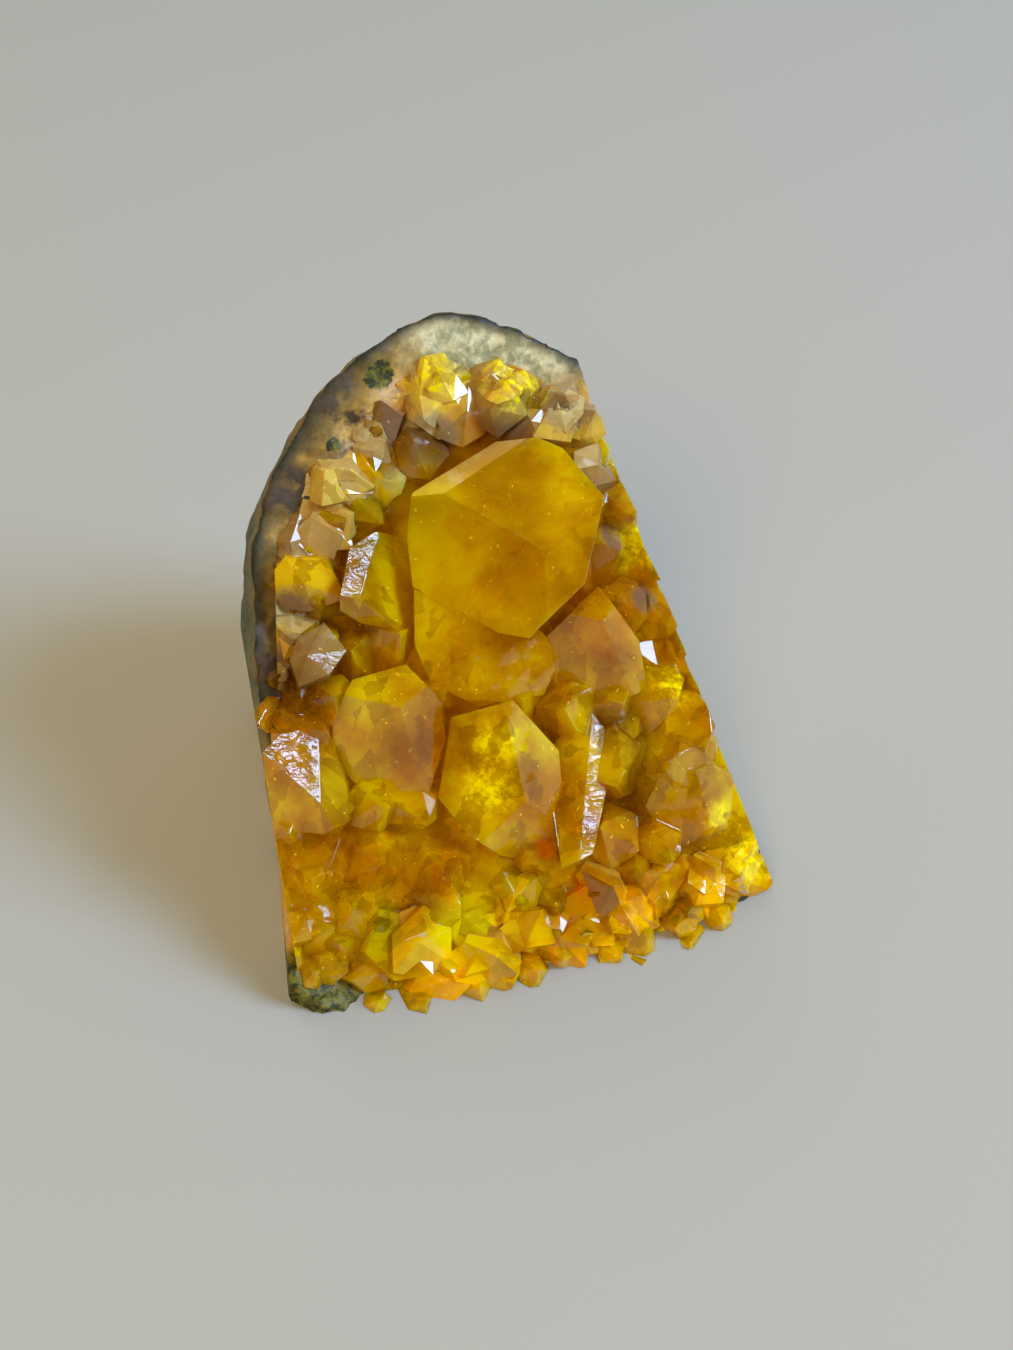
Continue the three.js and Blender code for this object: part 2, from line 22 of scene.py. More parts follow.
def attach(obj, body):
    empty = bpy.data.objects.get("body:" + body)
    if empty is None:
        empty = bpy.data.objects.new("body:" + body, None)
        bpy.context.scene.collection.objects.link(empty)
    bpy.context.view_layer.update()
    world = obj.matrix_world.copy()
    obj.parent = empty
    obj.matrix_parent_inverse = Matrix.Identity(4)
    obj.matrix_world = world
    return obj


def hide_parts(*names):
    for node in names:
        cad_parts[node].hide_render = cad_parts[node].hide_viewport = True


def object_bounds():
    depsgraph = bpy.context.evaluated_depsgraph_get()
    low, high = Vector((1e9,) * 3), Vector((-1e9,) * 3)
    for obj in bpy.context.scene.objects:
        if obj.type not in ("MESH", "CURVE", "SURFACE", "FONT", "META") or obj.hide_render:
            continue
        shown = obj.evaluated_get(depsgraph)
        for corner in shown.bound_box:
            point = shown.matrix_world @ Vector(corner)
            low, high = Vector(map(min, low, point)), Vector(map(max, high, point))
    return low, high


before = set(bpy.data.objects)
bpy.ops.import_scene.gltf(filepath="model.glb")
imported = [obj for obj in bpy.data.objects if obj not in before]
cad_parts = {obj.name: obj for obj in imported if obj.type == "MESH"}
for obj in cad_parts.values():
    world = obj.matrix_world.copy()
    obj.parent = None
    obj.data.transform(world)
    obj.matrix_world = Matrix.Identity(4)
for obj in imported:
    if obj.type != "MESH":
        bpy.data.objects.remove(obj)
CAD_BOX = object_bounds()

LOG = logging.getLogger("citrine_cluster")
MM = 0.001


class Tone(Enum):
    """What a crystal looks like at a place, with painted shade, light, highlights and glow among the tones; each is
    an attribute of its faces or corners, from 0 to 1.
    """

    SAWN = "sawn"
    ETCHED = "etched"
    # Painted shade: darker amber in crevices, where rays from a corner are shut.
    CREVICE = "crevice"
    STAIN = "stain"
    SMOKY = "smoky"
    BROWN = "brown"
    MILKY = "milky"
    # Painted highlight: brighter, hazier yellow patches and glints.
    BRIGHT = "bright"
    # Painted glow: orange-yellow at the thin crystals of the foot.
    GLOW = "glow"
    # Painted light: brighter yellow where light passes through.
    LIT = "lit"
    DEEP = "deep"
    CALM = "calm"


# The tones of whole faces. The others fade from corner to corner.
HARD_TONES = (Tone.SAWN, Tone.ETCHED, Tone.SMOKY, Tone.MILKY)


# ---- small helpers


def linear(hex_colour: str) -> tuple[float, float, float, float]:
    """Turns an sRGB hex colour, such as "#c9a227", to the linear values and alpha that a socket takes."""
    parts = [int(hex_colour[i:i + 2], 16) / 255 for i in (1, 3, 5)]
    red, green, blue = (c / 12.92 if c <= 0.04045 else ((c + 0.055) / 1.055) ** 2.4 for c in parts)
    return red, green, blue, 1.0


def add_node(tree: NodeTree, kind: str, settings: dict | None = None) -> Node:
    """Adds a node with its settings and links.

    Args:
        tree: The node tree that takes it.
        kind: The node's type name, after its "ShaderNode", and then its operation if it has one.
        settings: What each input, by name or number, and each attribute takes: a value, a colour as hex, a socket,
            or a node for its first output in use. A colour ramp takes its "stops".

    Returns:
        The new node.
    """
    kind, _, operation = kind.partition(" ")
    node = tree.nodes.new("ShaderNode" + kind)
    if operation:
        node.operation = operation
    for name, value in (settings or {}).items():
        if isinstance(value, Node):
            value = next(output for output in value.outputs if output.enabled)
        if isinstance(value, NodeSocket):
            tree.links.new(value, node.inputs[name])
        elif name == "stops":
            ramp = node.color_ramp.elements
            while len(ramp) < len(value):
                ramp.new(1.0)
            for element, (place, colour) in zip(ramp, value):
                element.position, element.color = place, linear(colour)
        elif isinstance(name, int) or name in node.inputs:
            node.inputs[name].default_value = linear(value) if isinstance(value, str) else value
        else:
            setattr(node, name, value)
    return node


def new_material(name: str) -> tuple[Material, Callable[..., Node]]:
    """Makes an empty node material and returns it with add_node for its own tree."""
    material = bpy.data.materials.new(name)
    material.use_nodes = True
    material.node_tree.nodes.clear()
    return material, partial(add_node, material.node_tree)


def merged_copy(node_name: str) -> BMesh:
    """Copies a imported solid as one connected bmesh, with its loose triangles merged."""
    mesh = bmesh.new()
    mesh.from_mesh(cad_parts[node_name].data)
    bmesh.ops.remove_doubles(mesh, verts=mesh.verts, dist=0.002 * MM)
    bmesh.ops.dissolve_degenerate(mesh, edges=mesh.edges, dist=0.001 * MM)
    mesh.normal_update()
    return mesh


def absorb(whole: BMesh, part: BMesh) -> None:
    """Adds one bmesh to another and frees it."""
    shape = bpy.data.meshes.new("part")
    part.to_mesh(shape)
    part.free()
    whole.from_mesh(shape)
    bpy.data.meshes.remove(shape)


def packed_surface(*node_names: str) -> BVHTree:
    """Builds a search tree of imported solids."""
    whole = bmesh.new()
    for name in node_names:
        absorb(whole, merged_copy(name))
    tree = BVHTree.FromBMesh(whole)
    whole.free()
    return tree


def placed(name: str, mesh: BMesh, materials: Sequence[Material]) -> Object:
    """Makes an object of a bmesh where it lies and links it to the scene.

    Args:
        name: The piece's name.
        mesh: The finished bmesh, which is freed.
        materials: Its material slots, in order.

    Returns:
        The new object, at the origin.
    """
    data = bpy.data.meshes.new(name)
    mesh.to_mesh(data)
    mesh.free()
    for material in materials:
        data.materials.append(material)
    piece = bpy.data.objects.new(name, data)
    bpy.context.scene.collection.objects.link(piece)
    return piece


def surface_of(faces: Iterable[BMFace]) -> BVHTree:
    """Builds a search tree of some faces of a bmesh."""
    points, polygons = [], []
    for face in faces:
        polygons.append(list(range(len(points), len(points) + len(face.verts))))
        points.extend(vert.co.copy() for vert in face.verts)
    return BVHTree.FromPolygons(points, polygons)


def reach_to(tree: BVHTree, point: Vector) -> float:
    """Distance from a point to a surface, in mm."""
    return tree.find_nearest(point)[3] / MM


def smoothstep(value: float, low: float, high: float) -> float:
    """Eases from 0 to 1 as a value goes from low to high."""
    share = min(max((value - low) / (high - low), 0.0), 1.0)
    return share * share * (3 - 2 * share)


# ---- the shape's own frame and cuts


@dataclass(frozen=True)
class Slope:
    """The front slope's own frame, where the crystals grow: across, up the slope and out of it."""

    foot: Vector = Vector((-4.01, -29.265, 0)) * MM
    rise: float = math.radians(57)

    def axes(self) -> tuple[Vector, Vector, Vector]:
        """Unit directions across, up and out."""
        up = Vector((0, math.cos(self.rise), math.sin(self.rise)))
        return Vector((1, 0, 0)), up, Vector((0, -up.z, up.y))

    def place(self, across: float, up: float, out: float) -> Vector:
        """A point of the slope's frame, in mm, as a point of the model."""
        along, rising, outward = self.axes()
        return self.foot + (along * across + rising * up + outward * out) * MM

    def local(self, point: Vector) -> tuple[float, float, float]:
        """A point of the model as mm across, up and out in the slope's frame."""
        offset = (point - self.foot) / MM
        across, up, out = (offset.dot(axis) for axis in self.axes())
        return across, up, out


@dataclass(frozen=True)
class SawCut:
    """A flat sawn face, by a point on it and its outward direction."""

    point: Vector
    outward: Vector
    near: float = 0.06 * MM

    def past(self, point: Vector) -> float:
        """How far outside the cut a point lies, in metres, under 0 inside."""
        return (point - self.point).dot(self.outward)

    def holds(self, point: Vector, normal: Vector) -> bool:
        """Whether a face with this centre and normal lies on the cut."""
        return normal.dot(self.outward) > 0.999 and abs(self.past(point)) < self.near


def side_cut(across: float, lean: float, turn: float, sign: int) -> SawCut:
    """Makes the cut of a sawn side.

    Args:
        across: Where it meets the foot of the slope, in mm.
        lean: Its lean inwards, in degrees.
        turn: Its turn about upright, in degrees.
        sign: -1 for the left side and 1 for the right.

    Returns:
        The cut.
    """
    rise, yaw = math.radians(lean), math.radians(turn)
    outward = Vector((sign * math.cos(rise) * math.cos(yaw), math.sin(yaw), math.sin(rise)))
    return SawCut(SLOPE.place(across, 0, 0), outward.normalized())


SLOPE = Slope()
BASE_CUT = SawCut(Vector((0, 0, 0)), Vector((0, 0, -1)))
CUTS = (
    BASE_CUT,
    side_cut(-35.6, 1.7, 2.6, -1),
    side_cut(45.9, 14.8, 0, 1),
    side_cut(-37.6, 7.5, 6.5, -1),  # the lump of rind at the foot's left
)


# ---- places with a tone of their own


@dataclass(frozen=True)
class Spot:
    """A round patch of the slope with a tone: its place across and up and its reach, in mm."""

    tone: Tone
    across: float
    up: float
    reach: float
    out: float = 6.0

    def share(self, across: float, up: float, out: float) -> float:
        """How much of the tone a place of the slope's frame has, from 0 to 1."""
        away = math.sqrt((across - self.across) ** 2 + (up - self.up) ** 2 + (out - self.out) ** 2)
        return 1 - smoothstep(away, 0.3 * self.reach, self.reach)


# Each tone's spots: across, up and reach in mm, then how far out where that isn't the usual 6.
SPOTS = tuple(Spot(tone, *place) for tone, places in {
    Tone.SMOKY: ((1.3, 81.8, 5), (13.7, 83, 4.5), (23, 84.3, 6), (7, 92.5, 2.5), (-25.2, 61, 3.5),
        (-30, 53.7, 4), (30.7, 50.9, 2.6), (-5.5, 77, 2.5), (27, 62, 2.5)),
    Tone.BROWN: ((-25.6, 48.4, 9, 1), (22.6, 32.5, 7, 2), (-24.1, 62, 5.5, 1), (25.5, 22.5, 9, 2.5),
        (1.1, 81.5, 5, 0.3), (25, 26, 8, 1.5), (24, 17.5, 6, 2), (-13.5, 56, 5, 0), (9, 21, 5, 3),
        (-12, 14, 3.5, 4), (16, 50, 5, 1)),
    # Painted highlights: brighter patches and glints of inner flakes.
    Tone.BRIGHT: ((-0.4, 27.5, 6.5, 8.3), (2, 35, 6, 8), (15, 88.6, 8, 2.5), (3, 91, 7, 2), (38, 12, 4.5, 6),
        (31, 60, 7, -0.9), (34, 36, 6, 3), (41.5, 3.7, 7, 6), (-26.5, 57, 3, 0)),
    Tone.CALM: ((6, 69, 24, 8), (8, 50, 12, 8), (-12, 0, 13, 8), (8, 0, 13, 8), (28, 1, 13, 8)),
    # Painted glow along the foot.
    Tone.GLOW: ((-13, -1, 6, 8), (3, -2, 6, 9), (20, 1, 6, 9), (34, 0, 6, 8)),
    # Painted light: brighter yellow zones.
    Tone.LIT: ((-3, 69, 14, 5), (-22, 33, 8, 6), (-17, 46, 7, 6), (33, 22, 10, 3), (-24, 9, 9, 5),
        (-10, 5, 8, 6), (6, 70, 12, 12)),
    Tone.DEEP: ((14, 62, 12, 12), (-11, 40, 9, 6), (5, 50, 8, 6), (10, 74, 9, 8), (24, 40, 9, 4),
        (-26, 24, 9, 5)),
    Tone.STAIN: ((-9.3, 9.9, 3), (7, 14.7, 3), (11.7, 6.3, 3.5), (21.5, 6.3, 3.5), (0.5, -3.4, 4),
        (33, 41, 2.5), (39.5, 2.7, 2.5), (34, 56, 2.5), (-12, 3, 3)),
}.items() for place in places)


# ---- finishes


# What the wall's mesh tells its material: mm from the rind and from the seat, then shares of a look.
WALL_LAYERS = ("from_rind", "from_seat", "sawn", "moss", "smoke", "pale")


@dataclass(frozen=True)
class GeodeStone:
    """Geode wall: a weathered rind, matt and dark grey-green, over smoky to khaki chalcedony and pale quartz."""

    name: str = "weathered rind and massive quartz"
    edge_dark: str = "#32342a"
    rind: tuple[tuple[float, str], ...] = (  # from the rim: smoky, grey, green-grey, grey, dark
        (0.0, "#856d38"), (0.2, "#6d6e58"), (0.5, "#565d55"), (0.72, "#6d6e58"), (1.0, "#3d4233"))
    inside: tuple[tuple[float, str], ...] = (  # from the rind: dark, brown, smoky, khaki, beige, rosy, beige, honey
        (0.0, "#4a4226"), (0.12, "#6b5a2e"), (0.25, "#856d38"), (0.38, "#b38d3c"), (0.5, "#cba558"),
        (0.6, "#c4a478"), (0.7, "#cba558"), (1.0, "#c59a2c"))
    moss: str = "#30331c"
    moss_fleck: str = "#807a28"
    pale: str = "#cfc9a0"
    pale_green: str = "#9b9a76"
    smoke: str = "#4d3f2c"
    mottle: float = 5.0  # mm, smoky patches
    grain: float = 1.5  # mm, grains of the massive quartz
    streak: float = 2.2  # mm, streaks of the pale crown
    rind_sway: float = 12.0  # mm that the patches push the rind's and the inner zones to and fro
    inner_sway: float = 13.0
    relief: float = 0.5  # mm, height of the grains
    gloss: float = 0.2  # the stone reflects weakly
    ior: float = 1.54

    def build(self) -> Material:
        """Builds the material, which reads the wall's layers."""
        material, add = new_material(self.name)
        coords = add("TexCoord").outputs["Object"]
        depth, rim, sawn, mossy, smoke, crown = (
            add("Attribute", {"attribute_name": name}).outputs["Fac"] for name in WALL_LAYERS)
        patch, fine, streak = (
            add("TexNoise", {"Scale": 1 / (size * MM), "Detail": detail, "Roughness": rough, "Distortion": bent,
                             "Vector": coords})
            for size, detail, rough, bent in (
                (self.mottle, 5.0, 0.6, 0.0), (self.grain, 6.0, 0.7, 0.0), (self.streak, 4.0, 0.6, 0.4)))

        # Rind outside: grey near the rim, darker away from it.
        shift = add("Math MULTIPLY_ADD", {0: patch, 1: self.rind_sway, 2: -self.rind_sway / 2})
        far = add("Math ADD", {0: rim, 1: shift})
        far_share = add("MapRange", {"From Max": 18.0, "Value": far})
        rind = add("ValToRGB", {"stops": self.rind, "Fac": far_share})

        # Inside, from the rind inwards. Broad patches push the zones in and out.
        wavy = add("Math MULTIPLY_ADD", {0: patch, 1: self.inner_sway, 2: -self.inner_sway / 2})
        deep = add("Math ADD", {0: depth, 1: wavy})
        deep_share = add("MapRange", {"From Min": -1.5, "From Max": 14.0, "Value": deep})
        inside = add("ValToRGB", {"stops": self.inside, "Fac": deep_share})
        skin = add("MapRange", {"From Min": 0.4, "From Max": 2.4, "Value": depth})
        skinned = add("Mix", {"data_type": "RGBA", 0: skin, 6: self.edge_dark, 7: inside})

        # Paler, greenish white and streaky at the crown. Smoky patches lie over both.
        streaked = add("MapRange", {"From Min": 0.42, "From Max": 0.58, "Value": streak})
        crowned = add("Mix", {"data_type": "RGBA", 0: streaked, 6: self.pale_green, 7: self.pale})
        crown_share = add("Math MULTIPLY", {0: crown, 1: skin})
        topped = add("Mix", {"data_type": "RGBA", 0: crown_share, 6: skinned, 7: crowned})
        smoked = add("MapRange", {"From Min": 0.38, "From Max": 0.52, "Value": patch})
        smoke_share = add("Math MULTIPLY", {0: smoke, 1: smoked})
        topped = add("Mix", {"data_type": "RGBA", 0: smoke_share, 6: topped, 7: self.smoke})

        # The sawn faces and the rim show the inside, and the rest shows the rind. Ragged moss lies over all.
        seat = add("MapRange", {"From Min": 1.2, "From Max": 0.2, "Value": rim})
        face = add("Math MAXIMUM", {0: sawn, 1: seat})
        colour = add("Mix", {"data_type": "RGBA", 0: face, 6: rind, 7: topped})
        speckle = add("MapRange", {"From Min": 0.40, "From Max": 0.56, "Value": fine})
        mossy_stone = add("Mix", {"data_type": "RGBA", 0: speckle, 6: self.moss_fleck, 7: self.moss})
        ragged = add("Math MULTIPLY_ADD", {0: fine, 1: 2.4, 2: -1.25})
        moss_share = add("Math ADD", {"use_clamp": True, 0: mossy, 1: ragged})
        moss_edge = add("MapRange", {"From Min": 0.3, "From Max": 0.6, "Value": moss_share})
        moss = add("Mix", {"data_type": "RGBA", 0: moss_edge, 6: colour, 7: mossy_stone})
        tone = add("MapRange", {"From Min": 0.3, "From Max": 0.7, "To Min": 0.7, "To Max": 1.3, "Value": fine})
        toned = add("Mix", {"data_type": "RGBA", "blend_type": "MULTIPLY", 0: 1.0, 6: moss, 7: tone})

        # The quartz inside is smooth and a little glossy; the rind is rough.
        rough = add("MapRange", {"To Min": 0.8, "To Max": 0.5, "Value": face})
        uneven = add("MapRange", {"To Min": 0.9, "To Max": 0.25, "Value": face})
        bump = add("Bump", {"Distance": self.relief * MM, "Height": fine, "Strength": uneven})
        shader = add("BsdfPrincipled", {
            "IOR": self.ior, "Specular IOR Level": self.gloss, "Base Color": toned, "Roughness": rough,
            "Normal": bump})
        add("OutputMaterial", {"Surface": shader})
        return material


@dataclass(frozen=True)
class Citrine:
    """Citrine: clear to cloudy honey-yellow quartz with bright natural faces, deeper amber where it is thick, with
    painted shade, light, highlights and glow among its tones.
    """

    name: str = "citrine quartz"
    yellow: str = "#ffdc00"
    amber: str = "#f4b600"
    tones: tuple[tuple[Tone, str, float, float, float], ...] = (  # each tone's colour, share, haze and mottling
        # Painted shade in crevices: darker amber.
        (Tone.CREVICE, "#b87000", 0.85, 0.1, 0.1),
        (Tone.STAIN, "#f07000", 0.9, 0.3, 0.8),
        (Tone.SMOKY, "#8d7562", 1.0, 0.4, 0.1),
        (Tone.BROWN, "#7a4c06", 1.0, 0.1, 0.2),
        (Tone.MILKY, "#dccb8c", 0.85, 0.5, 0.2),
        # Painted light: brighter yellow.
        (Tone.LIT, "#ffee00", 0.85, 0.0, 0.1),
        (Tone.DEEP, "#d6a400", 0.7, -0.1, 0.2),
        # Painted highlight: brighter, hazier yellow.
        (Tone.BRIGHT, "#ffea00", 1.0, 0.8, 0.6),
        # Painted glow: orange-yellow at the foot.
        (Tone.GLOW, "#ffb800", 1.0, 0.8, 0.4),
    )
    ior: float = 1.544
    gloss: float = 0.36  # a little under the full reflection, for fine wear on the faces
    polished: float = 0.03  # roughness of natural and of sawn faces
    sawn: float = 0.42
    glow: tuple[float, float, float] = (3.4, 3.2, 0.4)  # mm, how far light spreads in the cloudy quartz
    soft: float = 0.6  # share of the cloudy part that light spreads through
    clear: tuple[float, float] = (0.52, 0.84)  # least and most light let through
    absorbed: tuple[float, float, float] = (4.0, 13.0, 600.0)  # per metre: red, green, blue
    cloud: float = 18.0  # mm, size of the cloudy zones
    wisp: float = 1.6  # mm, size of the wisps that mottle each tone
    swell: float = 4.5  # mm, size of the faces' shallow growth relief
    relief: float = 0.4  # mm, height of that relief
    pit: float = 0.4  # mm, etched pits
    hillock: float = 3.6  # mm, size of the growth hillocks on the etched faces, and their slope
    hillock_slope: float = 0.115
    fleck: float = 0.7  # mm, bright flecks, painted glints
    painted_fleck_glint_colour: str = "#ffe44a"
    streak: float = 2.6  # mm, size of the shreds of paler and deeper yellow, and how strongly they show
    streak_share: float = 0.6
    shard_dark: str = "#9a6a00"  # the darker of the shards that inner faces and fractures break the light into
    shard_share: float = 0.5

    def build(self) -> Material:
        """Builds the material, see-through, which reads the crystals' tones."""
        material, add = new_material(self.name)
        coords = add("TexCoord").outputs["Object"]
        share = {tone: add("Attribute", {"attribute_name": tone.value}).outputs["Fac"] for tone in Tone}
        cloud, wisp, speck, swell = (
            add("TexNoise", {"Scale": 1 / (size * MM), "Detail": detail, "Roughness": rough, "Vector": coords})
            for size, detail, rough in (
                (self.cloud, 2.5, 0.5), (self.wisp, 2.5, 0.65), (self.fleck, 1.0, 0.6), (self.swell, 1.0, 0.4)))

        # Colour: yellow to amber in broad soft zones and shreds, then single crystals' tones, painted shade, light
        # and glow among them.
        stretched = add("Mapping", {
            "Rotation": (0.5, 0.35, 0.4), "Scale": Vector((1.0, 2.2, 0.6)) / (self.streak * MM), "Vector": coords})
        shred = add("TexNoise", {
            "Scale": 1.0, "Detail": 2.5, "Roughness": 0.6, "Distortion": 0.8, "Vector": stretched})
        torn = add("Math MULTIPLY_ADD", {0: shred, 1: self.streak_share, 2: cloud})
        middle = 0.5 * self.streak_share
        tint = add("MapRange", {"From Min": 0.41 + middle, "From Max": 0.6 + middle, "Value": torn})
        colour = add("Mix", {"data_type": "RGBA", 0: tint, 6: self.yellow, 7: self.amber})
        passing = add("MapRange", {
            "From Min": 0.38, "From Max": 0.6, "To Min": self.clear[0], "To Max": self.clear[1], "Value": cloud})
        for tone, shade, most, haze, mottled in self.tones:
            spread = add("MapRange", {
                "From Min": 0.42, "From Max": 0.6, "To Min": most * (1 - mottled), "To Max": most, "Value": wisp})
            part = add("Math MULTIPLY", {0: share[tone], 1: spread})
            colour = add("Mix", {"data_type": "RGBA", 0: part, 6: colour, 7: shade})
            left = add("Math MULTIPLY_ADD", {0: part, 1: -haze, 2: 1.0})
            passing = add("Math MULTIPLY", {0: passing, 1: left})

        # Shards of light and dark, sharp-edged, as many as there are growth hillocks. The calm crystals show few.
        turned = add("Mapping", {
            "Rotation": (0.6, -0.5, 0.3), "Scale": Vector((1.3, 2.0, 0.55)) / (self.hillock * MM), "Vector": coords})
        bent = add("VectorMath MULTIPLY_ADD", {0: shred.outputs["Color"], 1: (0.8, 0.8, 0.8), 2: turned})
        hills = add("TexVoronoi", {"Scale": 1.0, "Vector": bent})
        dark = add("MapRange", {
            "From Min": 0.5, "From Max": 0.75, "To Max": self.shard_share, "Value": hills.outputs["Color"]})
        calm = add("Math MULTIPLY_ADD", {0: share[Tone.CALM], 1: -0.8, 2: 1.0})
        dark_share = add("Math MULTIPLY", {0: dark, 1: calm})
        colour = add("Mix", {"data_type": "RGBA", 0: dark_share, 6: colour, 7: self.shard_dark})

        # Small bright flecks where fractures catch the light.
        flecked = add("MapRange", {"From Min": 0.65, "From Max": 0.72, "Value": speck})
        cluster = add("MapRange", {"From Min": 0.54, "From Max": 0.68, "Value": wisp})
        fleck = add("Math MULTIPLY", {0: flecked, 1: cluster})
        colour = add("Mix", {"data_type": "RGBA", 0: fleck, 6: colour, 7: self.painted_fleck_glint_colour})
        left = add("Math MULTIPLY_ADD", {0: fleck, 1: -0.8, 2: 1.0})
        passing = add("Math MULTIPLY", {0: passing, 1: left})

        # Gloss: bright faces, frosted where sawn, pitted and hillocky on the etched faces.
        polish = add("MapRange", {"To Min": self.polished, "To Max": self.sawn, "Value": share[Tone.SAWN]})
        uneven = add("Math MULTIPLY_ADD", {0: wisp, 1: 0.06, 2: polish})
        pits = add("TexVoronoi", {"Scale": 1 / (self.pit * MM), "Vector": coords})
        pit = add("MapRange", {"From Min": 0.05, "From Max": 0.35, "Value": pits})
        pitted = add("Math MAXIMUM", {0: share[Tone.ETCHED], 1: share[Tone.SAWN]})
        etched = add("Math MULTIPLY", {0: pit, 1: pitted})
        height = add("Math MULTIPLY_ADD", {0: etched, 1: 0.16, 2: swell})
        hilly = add("Bump", {
            "Distance": self.hillock * self.hillock_slope * MM, "Height": hills, "Strength": share[Tone.ETCHED]})
        bump = add("Bump", {"Strength": 0.5, "Distance": self.relief * MM, "Height": height, "Normal": hilly})
        shader = add("BsdfPrincipled", {
            "IOR": self.ior, "Specular IOR Level": self.gloss, "Subsurface Weight": self.soft,
            "Subsurface Radius": self.glow, "Subsurface Scale": MM,
            "Base Color": colour, "Transmission Weight": passing, "Roughness": uneven, "Normal": bump})
        thickest = max(self.absorbed) / 0.98  # keeps the clearness of the most absorbed colour above 0
        clearness = tuple(1 - value / thickest for value in self.absorbed) + (1.0,)
        volume = add("VolumeAbsorption", {"Color": clearness, "Density": thickest})
        add("OutputMaterial", {"Surface": shader, "Volume": volume})
        return material


@dataclass(frozen=True)
class MilkyRoot:
    """Milky quartz at the crystals' roots: opaque, pale, patched with honey and brown."""

    name: str = "milky quartz roots"
    white: str = "#fff6d8"
    pale: str = "#ffeaa0"
    honey: str = "#f7c430"
    brown: str = "#b87a18"
    patch: float = 5.0  # mm
    relief: float = 0.5  # mm
    ior: float = 1.54

    def build(self) -> Material:
        """Builds the material."""
        material, add = new_material(self.name)
        coords = add("TexCoord").outputs["Object"]
        patches = add("TexNoise", {
            "Scale": 1 / (self.patch * MM), "Detail": 6.0, "Roughness": 0.65, "Distortion": 0.8, "Vector": coords})
        colour = add("ValToRGB", {"stops": [
            (0.3, self.brown), (0.42, self.honey), (0.56, self.pale), (0.75, self.white)], "Fac": patches})
        bump = add("Bump", {"Strength": 0.6, "Distance": self.relief * MM, "Height": patches})
        shader = add("BsdfPrincipled", {"Roughness": 0.5, "IOR": self.ior, "Base Color": colour, "Normal": bump})
        add("OutputMaterial", {"Surface": shader})
        return material


# ---- the geode wall


